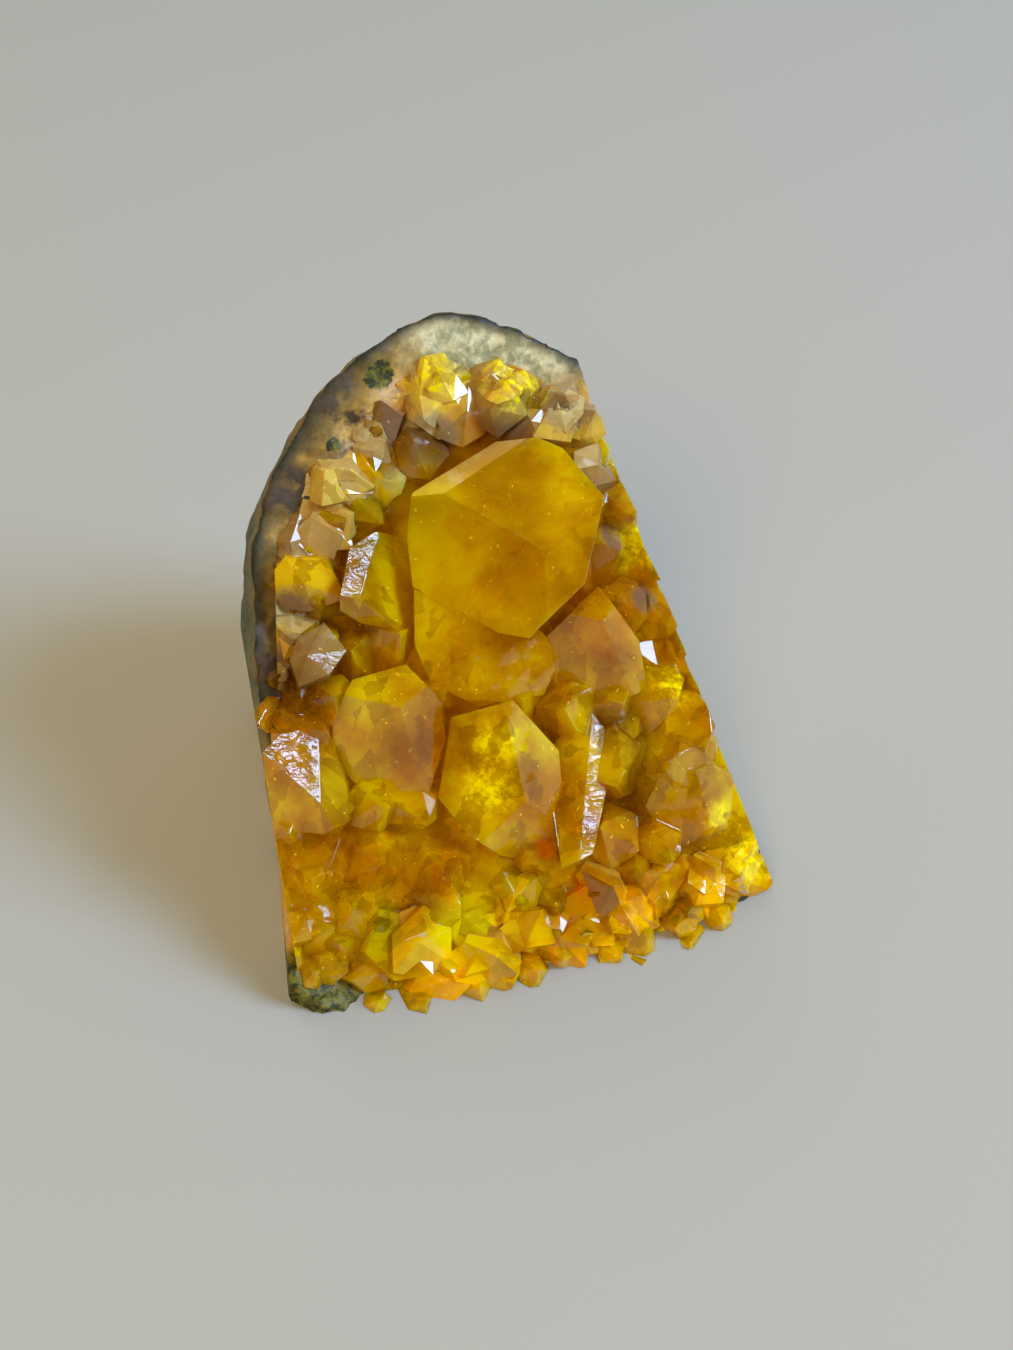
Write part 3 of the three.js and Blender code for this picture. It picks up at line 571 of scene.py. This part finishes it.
@dataclass
class GeodeWall:
    """The geode's wall, with its weathered rind, its pale quartz rim and its sawn faces."""

    voxel: float = 0.62  # mm, the fine mesh's spacing
    lump: float = 0.5  # mm, height of the rind's lumps and their size
    lump_size: float = 5.0
    pit: float = 0.45  # mm, depth of the rind's pits and their spacing
    pit_size: float = 3.4
    grain: float = 0.2  # mm, height and size of the grains
    grain_size: float = 2.2
    under_crystals: float = 1.6  # mm; nearer to the crystals than this the wall rises a little, so no gap opens
    rise: float = 0.15
    moss_spots: tuple[tuple[float, float, float], ...] = (  # across, up and reach, mm
        (-4.7, 92.5, 2.9), (-13.4, 83.7, 1.5), (-34.0, 1.0, 9.0), (-26.5, -2.0, 7.0), (-20.0, -4.0, 4.5))
    smoky_spots: tuple[tuple[float, float, float], ...] = (
        (-31.0, 52.0, 9.0), (-28.5, 61.0, 6.0), (-33.0, 44.0, 6.0), (-13.0, 88.0, 9.0), (-21.0, 78.0, 6.0))
    crown_spot: tuple[float, float, float] = (13.0, 95.0, 17.0)
    crease: float = math.radians(38)  # sharper edges part the seat from the rind

    def rind_and_seat(self, mesh: BMesh) -> tuple[list[BMFace], list[BMFace]]:
        """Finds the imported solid's rind and its seat, which spreads from the slope's middle up to its creases.

        Args:
            mesh: The merged solid.

        Returns:
            The faces of the rind and those of the seat.
        """
        sawn = {face for face in mesh.faces
                if any(cut.holds(face.calc_center_median(), face.normal) for cut in CUTS)}
        middle = SLOPE.place(6, 45, 0)
        start = min((face for face in mesh.faces if face.normal.dot(SLOPE.axes()[2]) > 0.6 and face not in sawn),
                    key=lambda face: (face.calc_center_median() - middle).length)
        seat, open_faces = {start}, [start]
        while open_faces:
            for edge in open_faces.pop().edges:
                for other in edge.link_faces:
                    if other not in seat and other not in sawn and edge.calc_face_angle(math.pi) < self.crease:
                        seat.add(other)
                        open_faces.append(other)
        return [face for face in mesh.faces if face not in sawn and face not in seat], list(seat)

    def fine_mesh(self, mesh: BMesh) -> BMesh:
        """Remeshes the solid finely and evenly, and frees it."""
        rough = placed("wall_rough", mesh, [])
        remesh = rough.modifiers.new("even", "REMESH")
        remesh.mode = "VOXEL"
        remesh.voxel_size = self.voxel * MM
        fine = bmesh.new()
        fine.from_object(rough, bpy.context.evaluated_depsgraph_get())
        bpy.data.objects.remove(rough)
        return fine

    def relief(self, point: Vector, depth: float) -> float:
        """Height of the lumps, grains and pits at a point, in mm, by its distance from the rind."""
        lumps = self.lump * noise.noise(point / (self.lump_size * MM))
        grains = self.grain * noise.noise(point / (self.grain_size * MM) + Vector((7, 3, 5)))
        pits = 0.0
        if depth < 0.4:
            near = noise.voronoi(point / (self.pit_size * MM))[0][0]
            pits = self.pit * (1 - smoothstep(near, 0.1, 0.42))
        return lumps + grains - self.grain - pits

    def weather(self, mesh: BMesh, rind: BVHTree, seat: BVHTree, crust: BVHTree) -> None:
        """Roughens the rind and the rim, and writes what the stone's material reads.

        Args:
            mesh: The fine mesh.
            rind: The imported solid's rind.
            seat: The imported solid's seat under the crystals.
            crust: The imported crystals, which the wall isn't worn away from.
        """
        layers = {name: mesh.verts.layers.float.new(name) for name in WALL_LAYERS}
        mesh.normal_update()
        for vert in mesh.verts:
            depth, rim = reach_to(rind, vert.co), reach_to(seat, vert.co)
            cut = min(abs(saw.past(vert.co)) for saw in CUTS) / MM
            across, up, out = SLOPE.local(vert.co)
            moss, smoke, crown = (
                max(1 - smoothstep(math.hypot(across - a, up - u), 0.5 * reach, reach) for a, u, reach in spots)
                for spots in (self.moss_spots, self.smoky_spots, (self.crown_spot,)))
            front = smoothstep(out, -7, -2)
            on_cut = 1 - smoothstep(cut, 0.2, 0.7) if min(depth, rim) > 0.25 else 0.0
            for name, value in zip(WALL_LAYERS, (depth, rim, on_cut, moss * front, smoke * front, crown)):
                vert[layers[name]] = value
            hidden = smoothstep(depth, 9, 14) if rim < 0.3 else 0.0
            moved = self.relief(vert.co, depth) * smoothstep(cut, 0.1, 0.9) * (1 - hidden)
            if reach_to(crust, vert.co) < self.under_crystals:
                moved = max(moved, self.rise)
            vert.co += vert.normal * moved * MM

    def build(self, stone: GeodeStone) -> Object:
        """Builds the wall in its finish."""
        solid = merged_copy("matrix")
        rind, seat = (surface_of(faces) for faces in self.rind_and_seat(solid))
        fine = self.fine_mesh(solid)
        self.weather(fine, rind, seat, packed_surface("crystals"))
        for face in fine.faces:
            face.smooth = True
        piece = placed("geode_wall", fine, [stone.build()])
        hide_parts("matrix")
        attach(piece, "root")
        return piece


# ---- the crystals


class TonePainter:
    """Writes the tones of crystals from where their faces and corners lie."""

    etched_normal = Vector((0.29, 0.33, 0.9)).normalized()  # in the slope's frame
    painted_sheen_normal = Vector((-0.23, 0.84, 0.49)).normalized()  # the tallest crystal's upper face, which gets a painted whitish sheen
    painted_sheen_above = 70.0  # mm up the slope
    painted_sheen_share = 0.8
    painted_glow_edge = (-3.5, -1.0)  # mm up the slope; below it thin crystals get a painted glow
    painted_glow_share = 0.8
    finest = 1.5  # mm, longest edge, so that the soft tones fade smoothly
    split_rounds = 6
    # Painted crevice shade: rays cast from each corner; the more are shut, the darker it is painted.
    painted_shade_rays = 24
    painted_shade_start = 0.15  # mm off the surface, and how far a ray goes
    painted_shade_reach = 7.0
    painted_shade_share = (0.25, 0.85)  # share of shut ways at no and at full painted shade

    def __init__(self, mesh: BMesh) -> None:
        """Splits a mesh's long edges and adds the tones' layers."""
        for _ in range(self.split_rounds):
            long_edges = [edge for edge in mesh.edges if edge.calc_length() > self.finest * MM]
            if not long_edges:
                break
            bmesh.ops.subdivide_edges(mesh, edges=long_edges, cuts=1)
            bmesh.ops.triangulate(mesh, faces=[face for face in mesh.faces if len(face.verts) > 3])
            uses = Counter(frozenset(face.verts) for face in mesh.faces)
            doubled = [face for face in mesh.faces if uses[frozenset(face.verts)] > 1]
            bmesh.ops.delete(mesh, geom=doubled, context="FACES")
        mesh.normal_update()
        self.mesh = mesh
        self.soft = {tone: mesh.verts.layers.float.new(tone.value) for tone in Tone if tone not in HARD_TONES}
        self.hard = {tone: mesh.faces.layers.float.new(tone.value) for tone in HARD_TONES}
        across, up, out = SLOPE.axes()
        self.etched_way, self.painted_sheen_way = (
            across * way.x + up * way.y + out * way.z for way in (self.etched_normal, self.painted_sheen_normal))

    def face(self, face: BMFace) -> None:
        """Writes one face's tones."""
        centre = face.calc_center_median()
        across, up, _ = SLOPE.local(centre)
        if any(cut.holds(centre, face.normal) for cut in CUTS):
            face[self.hard[Tone.SAWN]] = 1.0
        if face.normal.dot(self.etched_way) > 0.996:
            face[self.hard[Tone.ETCHED]] = 1.0
        # Painted sheen: the tallest crystal's upper face is painted milky white, as if it reflected the light
        # behind.
        if face.normal.dot(self.painted_sheen_way) > 0.99 and up > self.painted_sheen_above:
            face[self.hard[Tone.MILKY]] = self.painted_sheen_share
        for spot in SPOTS:
            if spot.tone in self.hard:
                layer = self.hard[spot.tone]
                away = math.hypot(across - spot.across, up - spot.up)
                face[layer] = max(face[layer], 1 - smoothstep(away, spot.reach * 0.6, spot.reach))

    def corners(self, skin: BVHTree, seed: int) -> None:
        """Writes the soft tones of every corner: the painted shade in crevices, from rays cast out of each corner,
        the painted glow at the foot and the spots.

        Args:
            skin: The surface that shuts the crevices, where the painted shade falls.
            seed: The seed of the ways tried.
        """
        chance = random.Random(seed)
        ways = [Vector([chance.gauss(0, 1) for _ in range(3)]).normalized() for _ in range(self.painted_shade_rays)]
        for vert in self.mesh.verts:
            # Painted shade: the share of shut rays darkens the corner.
            start = vert.co + vert.normal * self.painted_shade_start * MM
            shut = sum(skin.ray_cast(start, way if way.dot(vert.normal) > 0 else -way,
                                     self.painted_shade_reach * MM)[0] is not None for way in ways)
            vert[self.soft[Tone.CREVICE]] = smoothstep(shut / len(ways), *self.painted_shade_share)
            place = SLOPE.local(vert.co)
            # Painted glow: the thin crystals at the foot are painted brighter orange-yellow.
            vert[self.soft[Tone.GLOW]] = self.painted_glow_share * (1 - smoothstep(place[1], *self.painted_glow_edge))
            for spot in SPOTS:
                if spot.tone in self.soft:
                    layer = self.soft[spot.tone]
                    vert[layer] = max(vert[layer], spot.share(*place))


@dataclass
class CrystalCrust:
    """The intergrown citrine crystals, with their milky roots."""

    edge: float = 0.1  # mm, natural rounding of the crystals' edges
    edge_angles: tuple[float, float] = (math.radians(14), math.radians(125))
    room: float = 4.0  # an edge is rounded where all edges at its corners are this many roundings long
    flat: float = math.radians(0.8)  # triangles that bend less than this are one face
    spike: float = 0.9  # corners sharper than this are worn back, in this many rounds
    spike_rounds: int = 4
    seam: float = 0.5  # mm, faces nearer than this to the wall are roots
    seed: int = 11

    def rounded(self) -> BMesh:
        """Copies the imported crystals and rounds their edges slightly."""
        mesh = merged_copy("crystals")
        for _ in range(self.spike_rounds):
            spikes = [vert for vert in mesh.verts if self.is_spike(vert)]
            bmesh.ops.smooth_vert(mesh, verts=spikes, factor=1.0, use_axis_x=True, use_axis_y=True, use_axis_z=True)
        bmesh.ops.dissolve_limit(mesh, angle_limit=self.flat, use_dissolve_boundaries=False,
                                 verts=mesh.verts, edges=mesh.edges, delimit=set())
        low, high = self.edge_angles
        roomy = {vert for vert in mesh.verts
                 if min(edge.calc_length() for edge in vert.link_edges) > self.room * self.edge * MM}
        sharp = [edge for edge in mesh.edges
                 if edge.is_manifold and low < edge.calc_face_angle() < high and roomy.issuperset(edge.verts)]
        bmesh.ops.bevel(mesh, geom=sharp, offset=self.edge * MM, offset_type="OFFSET", segments=1, profile=0.5,
                        affect="EDGES", clamp_overlap=False, material=-1)
        bmesh.ops.triangulate(mesh, faces=mesh.faces)
        LOG.info("crystals: %d edges rounded", len(sharp))
        return mesh

    def is_spike(self, vert: BMVert) -> bool:
        """Whether a corner is a needle, with all its edges going the same way."""
        ways = [(edge.other_vert(vert).co - vert.co).normalized() for edge in vert.link_edges]
        return sum(ways, Vector()).length / len(ways) > self.spike

    def mark(self, mesh: BMesh, wall: BVHTree) -> None:
        """Gives each face its material and its tones.

        Args:
            mesh: The crystals.
            wall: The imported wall's surface.
        """
        outward = SLOPE.axes()[2]
        paint = TonePainter(mesh)
        paint.corners(BVHTree.FromBMesh(mesh), self.seed)
        for face in mesh.faces:
            paint.face(face)
            centre = face.calc_center_median()
            root = (face[paint.hard[Tone.SAWN]] == 0 and face.normal.dot(outward) < -0.2
                    and reach_to(wall, centre) < self.seam)
            face.material_index = 1 if root or BASE_CUT.holds(centre, face.normal) else 0

    def build(self, citrine: Citrine, root: MilkyRoot) -> Object:
        """Builds the crystals in their finish, with another for their hidden undersides."""
        mesh = self.rounded()
        self.mark(mesh, packed_surface("matrix"))
        piece = placed("citrine_crystals", mesh, [citrine.build(), root.build()])
        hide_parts("crystals")
        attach(piece, "root")
        return piece


@dataclass(frozen=True)
class DruseZone:
    """A band of small crystals, between two shares of the rim's ellipse or two heights of the foot."""

    count: int
    radius: tuple[float, float]  # mm
    reach: tuple[float, float] | None = None  # share of the rim's ellipse
    up: tuple[float, float] = (-3.0, 95.0)  # mm
    across: tuple[float, float] = (-36.0, 43.0)
    milky: tuple[float, float] = (0.0, 0.0)
    smoky_chance: float = 0.0
    lean: float = 0.35
    sunk: float = 0.58  # how deep a crystal sits in its ground, in radii


@dataclass
class Druse:
    """The small crystals: a pale druse along the rim and a fused honey-yellow row along the foot."""

    zones: tuple[DruseZone, ...] = (
        DruseZone(95, (1.8, 4.6), (0.83, 0.93), up=(46, 97), milky=(0.4, 1.0), smoky_chance=0.2, lean=0.4,
                  sunk=0.78),
        DruseZone(22, (2.8, 5.2), (0.74, 0.88), up=(50, 97), milky=(0.0, 0.4), smoky_chance=0.2, lean=0.4),
        DruseZone(64, (2.4, 5.2), up=(-1.5, 6.5), across=(-19, 45), lean=0.5),
    )
    ellipse: tuple[float, float, float, float] = (8.0, 45.0, 43.0, 50.0)  # centre and radii, mm
    squareness: float = 1.7
    stand: tuple[float, float] = (0.0, 0.25)  # how far the prism shows, in radii
    tip: tuple[float, float] = (0.15, 0.5)  # height of the pointed end, in radii
    shoulder: float = 0.2  # least height of the prism over what shows, in radii
    buried: float = 0.9  # how deep the root goes, and its width at the end, in radii
    root_width: float = 0.75
    uneven: float = 0.45  # how unlike a regular hexagon a crystal is
    tries: int = 40  # for each crystal of a zone
    above: float = 40.0  # mm out of the slope, where the search for the ground starts
    highest: float = 50.0  # mm out of the slope; higher faces stay bare
    off_cuts: float = 0.4  # mm
    smoky_share: float = 0.8
    seed: int = 5

    def share(self, across: float, up: float) -> float:
        """How far out a place lies, as a share of the rim's ellipse."""
        middle, level, wide, high = self.ellipse
        away = abs((across - middle) / wide) ** self.squareness + abs((up - level) / high) ** self.squareness
        return away ** (1 / self.squareness)

    def crystal(self, radius: float, stand: float, chance: random.Random) -> BMesh:
        """Makes one six-sided crystal that points up its own Z, with its surface level at 0.

        Args:
            radius: Its radius, in mm.
            stand: How far its prism shows, in mm.
            chance: The random source.

        Returns:
            Its mesh, in metres.
        """
        mesh = bmesh.new()
        height = stand + self.shoulder * radius
        bmesh.ops.create_cone(mesh, cap_ends=True, segments=6, radius1=radius * MM, radius2=radius * MM,
                              depth=height * MM)
        bmesh.ops.translate(mesh, verts=mesh.verts, vec=Vector((0, 0, height / 2)) * MM)
        squeeze = [chance.uniform(1 - self.uneven, 1 + self.uneven) for _ in range(6)]
        for vert in mesh.verts:
            corner = round(math.atan2(vert.co.y, vert.co.x) / math.tau * 6) % 6
            vert.co.xy *= squeeze[corner]
            if vert.co.z > height * 0.5 * MM:
                vert.co.z += chance.uniform(0.0, self.uneven) * radius * MM
        top = max(mesh.faces, key=lambda face: face.calc_center_median().z)
        apex = bmesh.ops.poke(mesh, faces=[top], offset=chance.uniform(*self.tip) * radius * MM)["verts"][0]
        apex.co.xy += Vector([chance.uniform(-self.uneven, self.uneven) for _ in "xy"]) * radius * MM
        bottom = min(mesh.faces, key=lambda face: face.calc_center_median().z)
        grown = bmesh.ops.extrude_face_region(mesh, geom=[bottom])["geom"]
        bmesh.ops.delete(mesh, geom=[bottom], context="FACES_ONLY")
        for vert in (item for item in grown if isinstance(item, BMVert)):
            vert.co = Vector((vert.co.x * self.root_width, vert.co.y * self.root_width, -radius * self.buried * MM))
        for face in mesh.faces:
            face.material_index = 1 if all(vert.co.z < 1e-7 for vert in face.verts) else 0
        return mesh

    def trim(self, mesh: BMesh) -> None:
        """Cuts a crystal, in place, flat at the sawn faces."""
        for cut in CUTS:
            if all(cut.past(vert.co) < 0 for vert in mesh.verts):
                continue
            bmesh.ops.bisect_plane(mesh, geom=mesh.verts[:] + mesh.edges[:] + mesh.faces[:], dist=1e-7,
                                   plane_co=cut.point - cut.outward * 0.02 * MM, plane_no=cut.outward,
                                   clear_outer=True)
            rim = [edge for edge in mesh.edges if edge.is_boundary]
            if rim:
                bmesh.ops.edgeloop_fill(mesh, edges=rim)

    def grow(self, zone: DruseZone, whole: BMesh, milky: dict[int, float], ground: BVHTree,
             chance: random.Random) -> None:
        """Grows one zone's crystals. Those that would break or pass the cluster's front are left out.

        Args:
            zone: The zone.
            whole: The mesh that takes the crystals.
            milky: The tone of each crystal by its first face's number, under 0 for a smoky one.
            ground: The surface they stand on.
            chance: The random source.
        """
        outward = SLOPE.axes()[2]
        made = 0
        for _ in range(zone.count * self.tries):
            if made == zone.count:
                break
            across, up = chance.uniform(*zone.across), chance.uniform(*zone.up)
            if zone.reach and not zone.reach[0] < self.share(across, up) < zone.reach[1]:
                continue
            place, normal, _, _ = ground.ray_cast(SLOPE.place(across, up, self.above), -outward)
            if place is None or any(cut.past(place) > -self.off_cuts * MM for cut in CUTS):
                continue
            if SLOPE.local(place)[2] > self.highest:
                continue
            radius = chance.uniform(*zone.radius)
            wander = Vector([chance.gauss(0, zone.lean) for _ in range(3)])
            way = (normal * 0.6 + outward * 0.5 + wander * 0.5).normalized()
            part = self.crystal(radius, radius * chance.uniform(*self.stand), chance)
            spin = Quaternion((0, 0, 1), chance.uniform(0, math.tau))
            turn = way.to_track_quat("Z", "Y") @ spin
            for vert in part.verts:
                vert.co = turn @ vert.co + place - way * radius * zone.sunk * MM
            self.trim(part)
            if (not part.faces or any(not edge.is_manifold for edge in part.edges)
                    or any(vert.co.y < CAD_BOX[0][1] for vert in part.verts)):
                part.free()
                continue
            bmesh.ops.recalc_face_normals(part, faces=part.faces)
            milky[len(whole.faces)] = -1.0 if chance.random() < zone.smoky_chance else chance.uniform(*zone.milky)
            absorb(whole, part)
            made += 1

    def build(self, citrine: Citrine, root: MilkyRoot) -> Object:
        """Builds the druse.

        Args:
            citrine: Its finish.
            root: The finish of the crystals' hidden roots.

        Returns:
            The finished piece.
        """
        ground = packed_surface("matrix", "crystals")
        chance = random.Random(self.seed)
        whole, milky = bmesh.new(), {}
        for zone in self.zones:
            self.grow(zone, whole, milky, ground, chance)
        haze = whole.faces.layers.float.new("haze")
        tone = 0.0
        for number, face in enumerate(whole.faces):
            tone = milky.get(number, tone)
            face[haze] = tone
        paint = TonePainter(whole)
        paint.corners(ground, self.seed)
        haze = whole.faces.layers.float["haze"]
        for face in whole.faces:
            paint.face(face)
            smoky = face[haze] < 0
            layer = paint.hard[Tone.SMOKY if smoky else Tone.MILKY]
            face[layer] = max(face[layer], self.smoky_share if smoky else face[haze])
        piece = placed("small_crystals", whole, [citrine.build(), root.build()])
        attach(piece, "root")
        return piece


# ---- the studio


@dataclass(frozen=True)
class Lamp:
    """A soft rectangular light that faces the cluster."""

    name: str
    towards: Vector  # the way from the cluster to it
    distance: float  # metres
    size: tuple[float, float]  # metres
    watts: float
    colour: str
    mirrored: bool = True  # whether reflections show it
    facing: Vector = Vector((0, -5, 35)) * MM

    def build(self) -> None:
        """Places the light."""
        data = bpy.data.lights.new(self.name, "AREA")
        data.shape = "RECTANGLE"
        data.size, data.size_y = self.size
        data.energy = self.watts
        data.color = linear(self.colour)[:3]
        lamp = bpy.data.objects.new(self.name, data)
        lamp.location = self.facing + self.towards.normalized() * self.distance
        lamp.rotation_euler = (-self.towards).to_track_quat("-Z", "Y").to_euler()
        lamp.visible_glossy = self.mirrored
        bpy.context.scene.collection.objects.link(lamp)


@dataclass
class Studio:
    """A plain pale floor, a soft window-like key light, soft fill and the camera."""

    floor_colour: str = "#a5a7a2"
    world_colour: str = "#ffe9c0"
    world_strength: float = 1.0
    mirrored_share: float = 0.15  # how strongly the room shows in reflections
    shade_towards: Vector = Vector((-0.2, -0.9, 0.35))
    shade_spread: tuple[float, float] = (math.radians(62), math.radians(88))
    shade_strength: float = 0.07
    lamps: tuple[Lamp, ...] = (
        Lamp("window", Vector((0.71, -0.38, 0.60)), 2.4, (0.9, 1.15), 80.0, "#b6d5ff"),
        Lamp("fill", Vector((-0.45, -0.55, 0.7)), 2.0, (1.0, 1.0), 24.0, "#ffe0a4", mirrored=False),
        Lamp("back", Vector((-0.14, 0.70, 0.70)), 2.0, (0.5, 0.5), 4.0, "#b6d5ff"),
    )
    camera_at: Vector = Vector((-38.904, -142.278, 189.0)) * MM
    camera_right: Vector = Vector((0.95630, -0.29237, 0))
    camera_up: Vector = Vector((0.21383, 0.69940, 0.68200))
    lens: float = 34.67  # mm, on a sensor 36 mm wide

    def floor(self) -> None:
        """Makes the floor."""
        mesh = bmesh.new()
        bmesh.ops.create_grid(mesh, x_segments=1, y_segments=1, size=2.0)
        material, add = new_material("matt painted board")
        shader = add("BsdfPrincipled", {
            "Base Color": self.floor_colour, "Roughness": 0.75, "Specular IOR Level": 0.25})
        add("OutputMaterial", {"Surface": shader})
        board = placed("floor", mesh, [material])

    def world(self) -> None:
        """Lights the scene from the room: bright walls, with a darker ceiling side in front and above.

        Reflections show the room dimmer than it lights, so faces turned up keep their colour.
        """
        world = bpy.data.worlds.new("soft room light")
        world.use_nodes = True
        world.node_tree.nodes.clear()
        add = partial(add_node, world.node_tree)
        towards = add("TexCoord").outputs["Generated"]
        facing = add("VectorMath DOT_PRODUCT", {0: towards, 1: self.shade_towards.normalized()})
        near, far = (math.cos(angle) for angle in self.shade_spread)
        strength = add("MapRange", {
            "interpolation_type": "SMOOTHSTEP", "From Min": far, "From Max": near, "To Min": self.world_strength,
            "To Max": self.shade_strength, "Value": facing})
        mirrored = add("LightPath").outputs["Is Glossy Ray"]
        dimmed = add("MapRange", {"To Min": 1.0, "To Max": self.mirrored_share, "Value": mirrored})
        seen = add("Math MULTIPLY", {0: strength, 1: dimmed})
        sky = add("Background", {"Color": self.world_colour, "Strength": seen})
        add("OutputWorld", {"Surface": sky})
        bpy.context.scene.world = world

    def camera(self) -> None:
        """Makes the camera."""
        data = bpy.data.cameras.new("camera")
        data.lens = self.lens
        data.sensor_width = 36
        data.clip_start = 0.005
        camera = bpy.data.objects.new("camera", data)
        back = self.camera_right.cross(self.camera_up)
        axes = Matrix((self.camera_right, self.camera_up, back)).transposed().to_4x4()
        camera.matrix_world = Matrix.Translation(self.camera_at) @ axes
        bpy.context.scene.collection.objects.link(camera)
        bpy.context.scene.camera = camera

    def build(self) -> None:
        """Builds the whole studio."""
        self.camera()
        self.floor()
        self.world()
        for lamp in self.lamps:
            lamp.build()
        bpy.context.scene.view_settings.view_transform = "Standard"


def main() -> None:
    """Builds the studio and the cluster, reporting each piece."""
    logging.basicConfig(level=logging.INFO, format="%(name)s: %(message)s")
    Studio().build()
    pieces = (
        GeodeWall().build(GeodeStone()),
        CrystalCrust().build(Citrine(), MilkyRoot()),
        Druse().build(Citrine(name="citrine druse", yellow="#ffd400", amber="#ffb000", soft=0.0, clear=(0.35, 0.62)),
                      MilkyRoot(name="honey quartz roots", white="#e0b040", pale="#cf9a20", honey="#ab7810",
                                brown="#6c460a")),
    )
    for piece in pieces:
        LOG.info("%s: %d faces", piece.name, len(piece.data.polygons))


if __name__ == "__main__":
    main()
